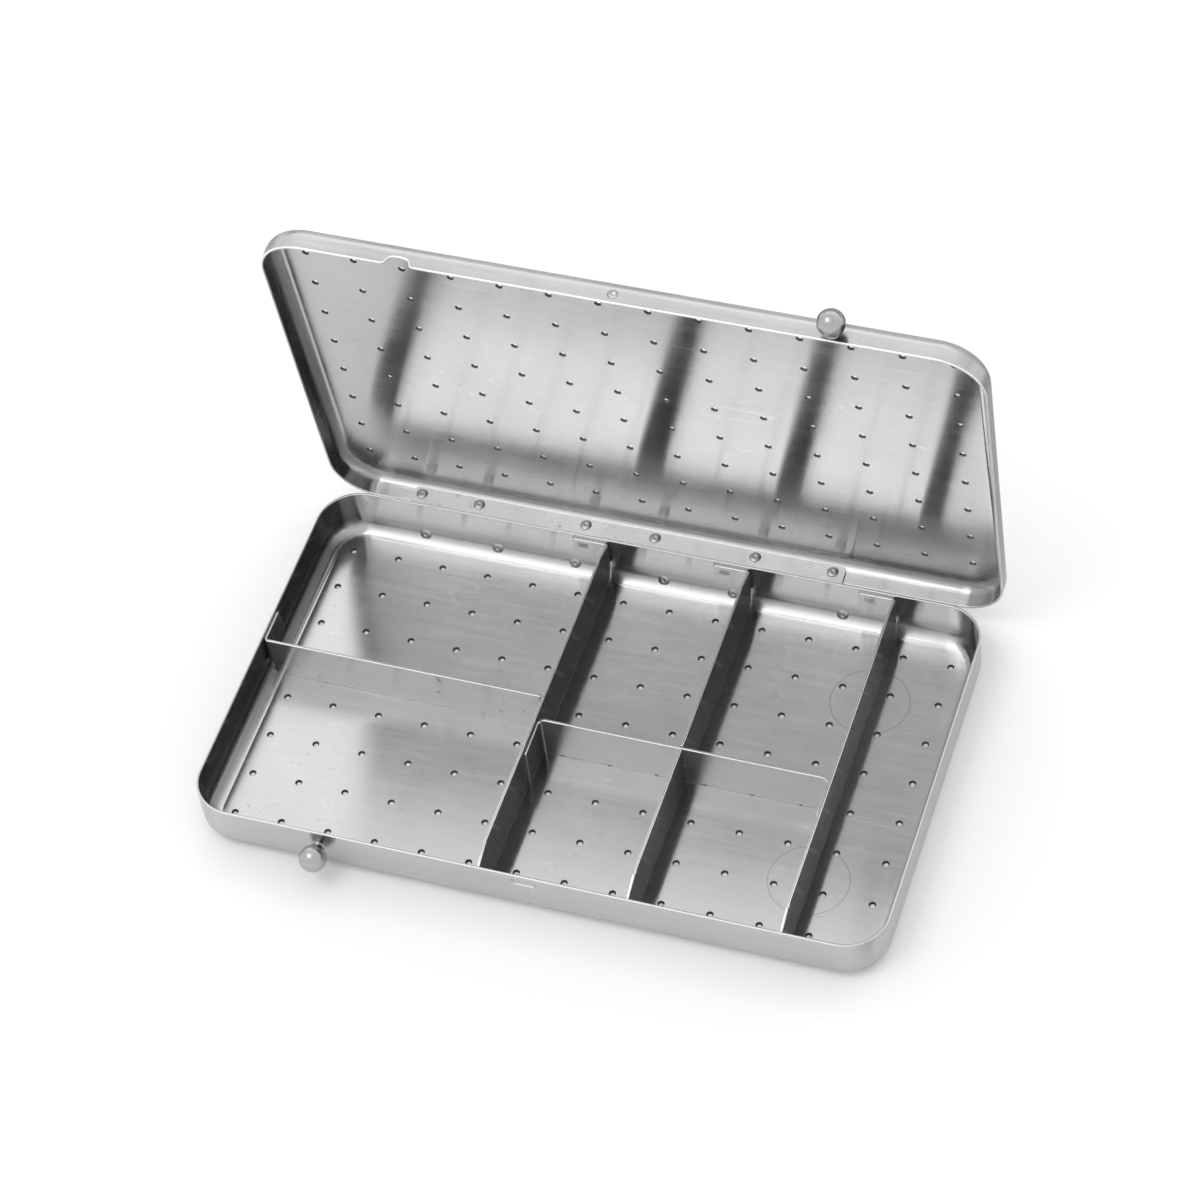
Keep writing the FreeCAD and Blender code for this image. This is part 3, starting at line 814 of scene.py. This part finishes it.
def make_strip(name, length, top, first, last):
    left = EAR_BEND + BEND_GAP
    right = length - left
    strip = add_strip(name, left, right, SHEET, top)
    ends = ((left, -1, first, 0.0), (right, 1, last, length))
    for at, outward, end, wall in ends:
        slice_at(strip, (wall - outward * end["slope"], 0, 0), (1, 0, 0))
        if end["foot"] > SHEET:
            slice_at(strip, (0, 0, end["foot"]), (0, 0, 1))
    for at, outward, end, wall in ends:
        bend_ear(strip, at, outward, end["ear"], end["foot"])
        top_line = lambda vertex: (vertex.co.z > top - BEND_GAP
                                   and outward * (vertex.co.x - wall) > -end["slope"] + BEND_GAP)
        pick(strip, "VERT", top_line)
        bpy.ops.object.mode_set(mode="OBJECT")
        for vertex in strip.data.vertices:
            if vertex.select:
                run = min(1.0, (end["slope"] + outward * (vertex.co.x - wall)) / end["slope"])
                vertex.co.z = top + (end["top"] - top) * run
        fold = lambda edge: (abs(centre_of(strip, edge).x - wall) < BEND_GAP / 2
                             and abs(centre_of(strip, edge).y) < BEND_GAP / 2)
        pick(strip, "EDGE", fold)
        bpy.ops.mesh.bevel(offset=EAR_BEND, segments=6, affect="EDGES")
        bpy.ops.object.mode_set(mode="OBJECT")
        if end["foot"] > SHEET:
            lower = lambda vertex: (abs(vertex.co.x - at) < BEND_GAP / 2
                                    and vertex.co.z < SHEET + BEND_GAP)
            pick(strip, "VERT", lower)
            bpy.ops.mesh.bevel(offset=FLOOR_CORNER, segments=6, affect="VERTICES")
            bpy.ops.object.mode_set(mode="OBJECT")
        ear_tip = lambda vertex: vertex.co.y > end["ear"] - BEND_GAP and abs(vertex.co.x - wall) < SHEET
        pick(strip, "VERT", ear_tip)
        bpy.ops.mesh.bevel(offset=0.5 * MM, segments=3, affect="VERTICES")
        bpy.ops.object.mode_set(mode="OBJECT")
    return strip


def thicken_strip(strip):
    web = max(strip.data.polygons, key=lambda face: face.area)
    if web.normal.y > 0:
        strip.data.flip_normals()
    finish_with(strip, "SOLIDIFY", thickness=SHEET, offset=-1.0, use_even_offset=True)


def soften_edges(strip):
    round_rim(strip, 0.14 * MM)
    smooth(strip)


def turn_into_place(piece, place, angle):
    piece.rotation_euler = (0, 0, angle)
    piece.location = (place[0], place[1], 0)
    apply_place(piece)


# %% [markdown]
# ### Long dividers
# Three strips run from front to back. Their top edge slopes down at both ends, and two of them show a
# small nick where the front slope begins. The middle one is slotted from above for the cross divider.

# %% Make the long dividers
LONG_TOP = 10.5 * MM
INNER_Y = TRAY_HALF_Y - SHEET
FRONT_SLOPE = 5.4 * MM
LONG_FRONT = {"ear": 7.2 * MM, "top": 8.5 * MM, "foot": WALL_FOOT, "slope": FRONT_SLOPE}
LONG_BACK = {"ear": 7.2 * MM, "top": 9.4 * MM, "foot": WALL_FOOT, "slope": 4.5 * MM}
RIGHT_CROSS_Y = -4.5 * MM
LAP_HEIGHT = 5.5 * MM
LAP_PLAY = 0.1 * MM
LONG_FACES = {"left": -8.55 * MM, "middle": 19.0 * MM, "right": 46.8 * MM}


def cut_nick(strip):
    width = 0.45 * MM
    cutter = add_block("nick", (-width, -SHEET, -width), (width, 2 * SHEET, width))
    cutter.rotation_euler = (0, math.radians(45), 0)
    cutter.location = (FRONT_SLOPE, 0, LONG_TOP)
    apply_place(cutter)
    cut_away(strip, cutter)


def make_long_divider(side):
    face = LONG_FACES[side]
    name = side + "_long_divider"
    strip = make_strip(name + "_strip", 2 * INNER_Y, LONG_TOP, LONG_FRONT, LONG_BACK)
    coat(strip, "long_divider", "edge")
    thicken_strip(strip)
    if side != "left":
        cut_nick(strip)
    turn_into_place(strip, (face, -INNER_Y), math.pi / 2)
    if side == "middle":
        low = (face - 2 * SHEET, RIGHT_CROSS_Y - SHEET - LAP_PLAY, LAP_HEIGHT)
        cut_away(strip, add_block("lap", low, (face + SHEET, RIGHT_CROSS_Y + LAP_PLAY, 2 * LONG_TOP)))
    soften_edges(strip)
    dress(strip, "divider_sheet", "base", name)
    print(name, "faces:", len(strip.data.polygons))


for side in LONG_FACES:
    make_long_divider(side)

# %% [markdown]
# ### Cross dividers
# The short one on the left bends towards the back. The long one on the right bends towards the front
# and is slotted from below, so that it sits astride the middle divider.

# %% Make the cross dividers
CROSS_EAR_TOP = 9.6 * MM
INNER_X = TRAY_HALF_X - SHEET


def cross_end(ear, foot):
    return {"ear": ear, "top": CROSS_EAR_TOP, "foot": foot, "slope": 1.5 * MM}


def make_left_cross():
    length = INNER_X + LONG_FACES["left"] - SHEET
    strip = make_strip("left_cross_divider_strip", length, 9.8 * MM, cross_end(7.4 * MM, WALL_FOOT),
                       cross_end(8.5 * MM, SHEET))
    coat(strip, "cross_divider", "edge")
    thicken_strip(strip)
    turn_into_place(strip, (-INNER_X, 0.4 * MM), 0)
    soften_edges(strip)
    dress(strip, "divider_sheet", "base", "left_cross_divider")


def make_right_cross():
    right = LONG_FACES["right"] - SHEET
    strip = make_strip("right_cross_divider_strip", right - LONG_FACES["left"], 10.3 * MM,
                       cross_end(8.0 * MM, SHEET), cross_end(8.0 * MM, SHEET))
    coat(strip, "cross_divider", "edge")
    thicken_strip(strip)
    turn_into_place(strip, (right, RIGHT_CROSS_Y), math.pi)
    middle = LONG_FACES["middle"]
    low = (middle - SHEET - LAP_PLAY, RIGHT_CROSS_Y - 2 * SHEET, 0)
    cut_away(strip, add_block("lap", low, (middle + LAP_PLAY, RIGHT_CROSS_Y + SHEET, LAP_HEIGHT)))
    soften_edges(strip)
    dress(strip, "divider_sheet", "base", "right_cross_divider")


make_left_cross()
make_right_cross()

# %% [markdown]
# ## Ball knobs
# Each knob is turned from bar: a neck with a small fillet against the wall, and a polished ball. The
# profile follows the ball's circle from the neck to the tip.

# %% Make the knobs
BALL = 2.5 * MM
STANDOFF = 2.9 * MM
NECK = 1.1 * MM


def knob_profile():
    start = math.asin(NECK / BALL)
    count = 22
    profile = [(NECK + 0.25 * MM, -0.12 * MM), (NECK + 0.22 * MM, 0.02 * MM), (NECK + 0.06 * MM, 0.10 * MM),
               (NECK, 0.25 * MM)]
    for step in range(count):
        angle = start + (math.pi - start) * step / count
        profile.append((BALL * math.sin(angle), STANDOFF - BALL * math.cos(angle)))
    profile.append((0.02 * BALL, STANDOFF + BALL))
    return profile


def make_knob(name, node_name, body, wall_point):
    knob = turned_piece(name, knob_profile(), 40)
    stand(knob, wall_point, (0, -1, 0))
    smooth(knob, 50)
    if body == "lid":
        open_with_lid(knob)
    coat(knob, "knob")
    dress(knob, "knob_steel", body, node_name)


make_knob("tray_ball_knob", "base_knob", "base", (-38.8 * MM, -TRAY_HALF_Y, 6.35 * MM))
make_knob("lid_ball_knob", "lid_knob", "lid", (39.1 * MM, LID_FRONT, 8.5 * MM))

# %% [markdown]
# ## Rivets
# Twelve small rivets hold the hinge. The set tool leaves a low dome with a dimple in its middle on the
# inside, and a flat tail on the outside. One is modelled and copied to each place.

# %% Make the rivets
HEAD = 1.1 * MM
DOME = 0.28 * MM
TAIL = 1.0 * MM
BASE_RIVETS = (-45.8, -31.3, -15.8, 1.7, 15.3, 36.4)
LID_RIVETS = (-48.7, -37.1, -15.7, -2.0, 17.6, 32.6)
RIVET_ANGLE = math.radians(29.0)
BEND = 3.3 * MM


def rivet_profile(sink, stack):
    tail = [(TAIL * 0.8, -stack - 0.25 * MM), (TAIL, -stack - 0.15 * MM), (TAIL, -stack + 0.1 * MM),
            (0.6 * MM, -stack + 0.12 * MM), (0.6 * MM, -sink - 0.02 * MM)]
    head = [(HEAD, -sink), (HEAD, 0.02 * MM)]
    for angle in (12, 26, 40, 54, 66):
        head.append((HEAD * math.cos(math.radians(angle)), DOME * math.sin(math.radians(angle))))
    dimple = [(0.36 * MM, 0.25 * MM), (0.27 * MM, 0.22 * MM), (0.15 * MM, 0.18 * MM), (0.04 * MM, 0.17 * MM)]
    return tail + head + dimple


def copy_to(original, places, direction, name):
    copies = []
    for place in places:
        copy = original.copy()
        copy.data = original.data.copy()
        bpy.context.scene.collection.objects.link(copy)
        stand(copy, place, direction)
        copies.append(copy)
    bpy.data.objects.remove(original, do_unlink=True)
    return join(name, copies)


def make_rivets():
    inward = (0, -math.cos(RIVET_ANGLE), math.sin(RIVET_ANGLE))
    reach = BEND - SHEET
    y = TRAY_HALF_Y - BEND + reach * math.cos(RIVET_ANGLE)
    z = BEND - reach * math.sin(RIVET_ANGLE)
    base = turned_piece("rivet", rivet_profile(0.3 * MM, 2 * SHEET), 32)
    base = copy_to(base, [(x * MM, y, z) for x in BASE_RIVETS], inward, "tray_rivets")
    smooth(base, 40)
    coat(base, "rivet")
    dress(base, "rivet_steel", "base", "base_hinge_rivets")
    lid = turned_piece("rivet", rivet_profile(0.0, 2 * SHEET), 32)
    places = [(x * MM, LID_BACK - 2 * SHEET, LID_TOP - SHEET - 3.0 * MM) for x in LID_RIVETS]
    lid = copy_to(lid, places, (0, -1, 0), "lid_rivets")
    smooth(lid, 40)
    open_with_lid(lid)
    coat(lid, "rivet")
    dress(lid, "rivet_steel", "lid", "lid_hinge_rivets")


make_rivets()

# %% [markdown]
# ## Table, light and camera
# Polished sheet shows its surroundings more than its own colour. A white room gives the bright floor of
# the tray, and one large soft lamp above the front left is stronger, which brightens the inside of the
# lid. Four cards that only reflections see shape the rest, as a photographer of metal would set them
# up: a dark one close on the right gives the black faces, a grey one on the table tones the right
# walls, and a low strip and a dark sheet on the table behind give the lid its dark upper edge. The
# dark card shows only in reflections of reflections, so it blackens the inside of the compartments
# and leaves the outside bright. The room is brightest high up at the back, which the front half of
# the floor mirrors.

# %% Table and card
def flat_sheet(name, location, size, rotation=(0, 0, 0)):
    let_go()
    bpy.ops.mesh.primitive_plane_add(size=size, location=location, rotation=rotation)
    piece = bpy.context.object
    piece.name = name
    return piece


def plain(name, colour):
    material = bpy.data.materials.new(name)
    material.use_nodes = True
    shader = material.node_tree.nodes["Principled BSDF"]
    shader.inputs["Base Color"].default_value = colour + (1,)
    shader.inputs["Roughness"].default_value = 1.0
    shader.inputs["Specular IOR Level"].default_value = 0.0
    return material


def reflected_card(name, grey, place, size, height, rotation):
    card = flat_sheet(name, place, size, rotation)
    card.scale.y = height / size
    card.data.materials.append(plain(name + "_paper", (grey, grey, grey)))
    card.visible_camera = False
    card.visible_diffuse = False
    card.visible_shadow = False
    return card


def only_for_second_reflections(card):
    tree = card.active_material.node_tree
    depth = node(tree, "ShaderNodeLightPath").outputs["Glossy Depth"]
    reflected_twice = math_node(tree, "GREATER_THAN", depth, 1.5)
    link(tree, reflected_twice, tree.nodes["Principled BSDF"].inputs["Alpha"])


TABLE_GREY = 0.90
QUARTER_TURN = math.radians(90)
table = flat_sheet("table", (0, 0, -0.02 * MM), 6.0)
table.data.materials.append(plain("white_table", (TABLE_GREY, TABLE_GREY, TABLE_GREY)))
dark_card = reflected_card("dark_card", 0.03, (0.35, 0, 1.2), 3.2, 3.2, (0, -QUARTER_TURN, 0))
only_for_second_reflections(dark_card)
reflected_card("side_card", 0.45, (0.22, 0.10, 0.2 * MM), 0.3, 0.4, (0, 0, 0))
reflected_card("back_card", 0.08, (0, 1.3, 0.4), 3.0, 0.5, (QUARTER_TURN, 0, 0))
reflected_card("rear_table_card", 0.05, (-0.05, 0.31, 0.2 * MM), 0.8, 0.38, (0, 0, 0))

# %% Light
def soft_lamp(name, place, size, level):
    light = bpy.data.lights.new(name, "AREA")
    light.shape = "SQUARE"
    light.size = size
    light.energy = level * math.pi * size * size
    lamp = bpy.data.objects.new(name, light)
    bpy.context.scene.collection.objects.link(lamp)
    lamp.location = place
    return lamp


def light_room():
    world = bpy.data.worlds.new("white_room")
    bpy.context.scene.world = world
    world.use_nodes = True
    sky = world.node_tree
    background = sky.nodes["Background"]
    background.inputs["Color"].default_value = (1, 1, 1, 1)
    parts = node(sky, "ShaderNodeSeparateXYZ")
    link(sky, node(sky, "ShaderNodeTexCoord").outputs["Generated"], parts.inputs[0])
    behind = soft_step(sky, parts.outputs[1], 0.43, 0.51)
    level = math_node(sky, "ADD", math_node(sky, "MULTIPLY", behind, 0.5), 1.0)
    link(sky, level, background.inputs["Strength"])


light_room()
soft_lamp("large_soft_lamp", (-0.44, -0.42, 1.2), 0.56, 2.9)

# %% [markdown]
# The camera stands where the photographer stood: to the right of the front and high, with a long lens
# and a slight roll. The place came from the regular hole grid, whose perspective fixes all of it.

# %% Camera
CAMERA_PLACE = Vector((180.0, -389.8, 567.4)) * MM
CAMERA_AIM = Vector((-9.18, 31.59, 0.0)) * MM
CAMERA_ROLL = math.radians(-8.125)
LENS = 117.21
lens = bpy.data.cameras.new("camera")
lens.lens = LENS
lens.sensor_width = 36.0
camera = bpy.data.objects.new("camera", lens)
bpy.context.scene.collection.objects.link(camera)
look = (CAMERA_AIM - CAMERA_PLACE).to_track_quat("-Z", "Y").to_matrix().to_4x4()
camera.matrix_world = Matrix.Translation(CAMERA_PLACE) @ look @ Matrix.Rotation(CAMERA_ROLL, 4, "Z")
bpy.context.scene.camera = camera
bpy.context.scene.view_settings.view_transform = "Standard"
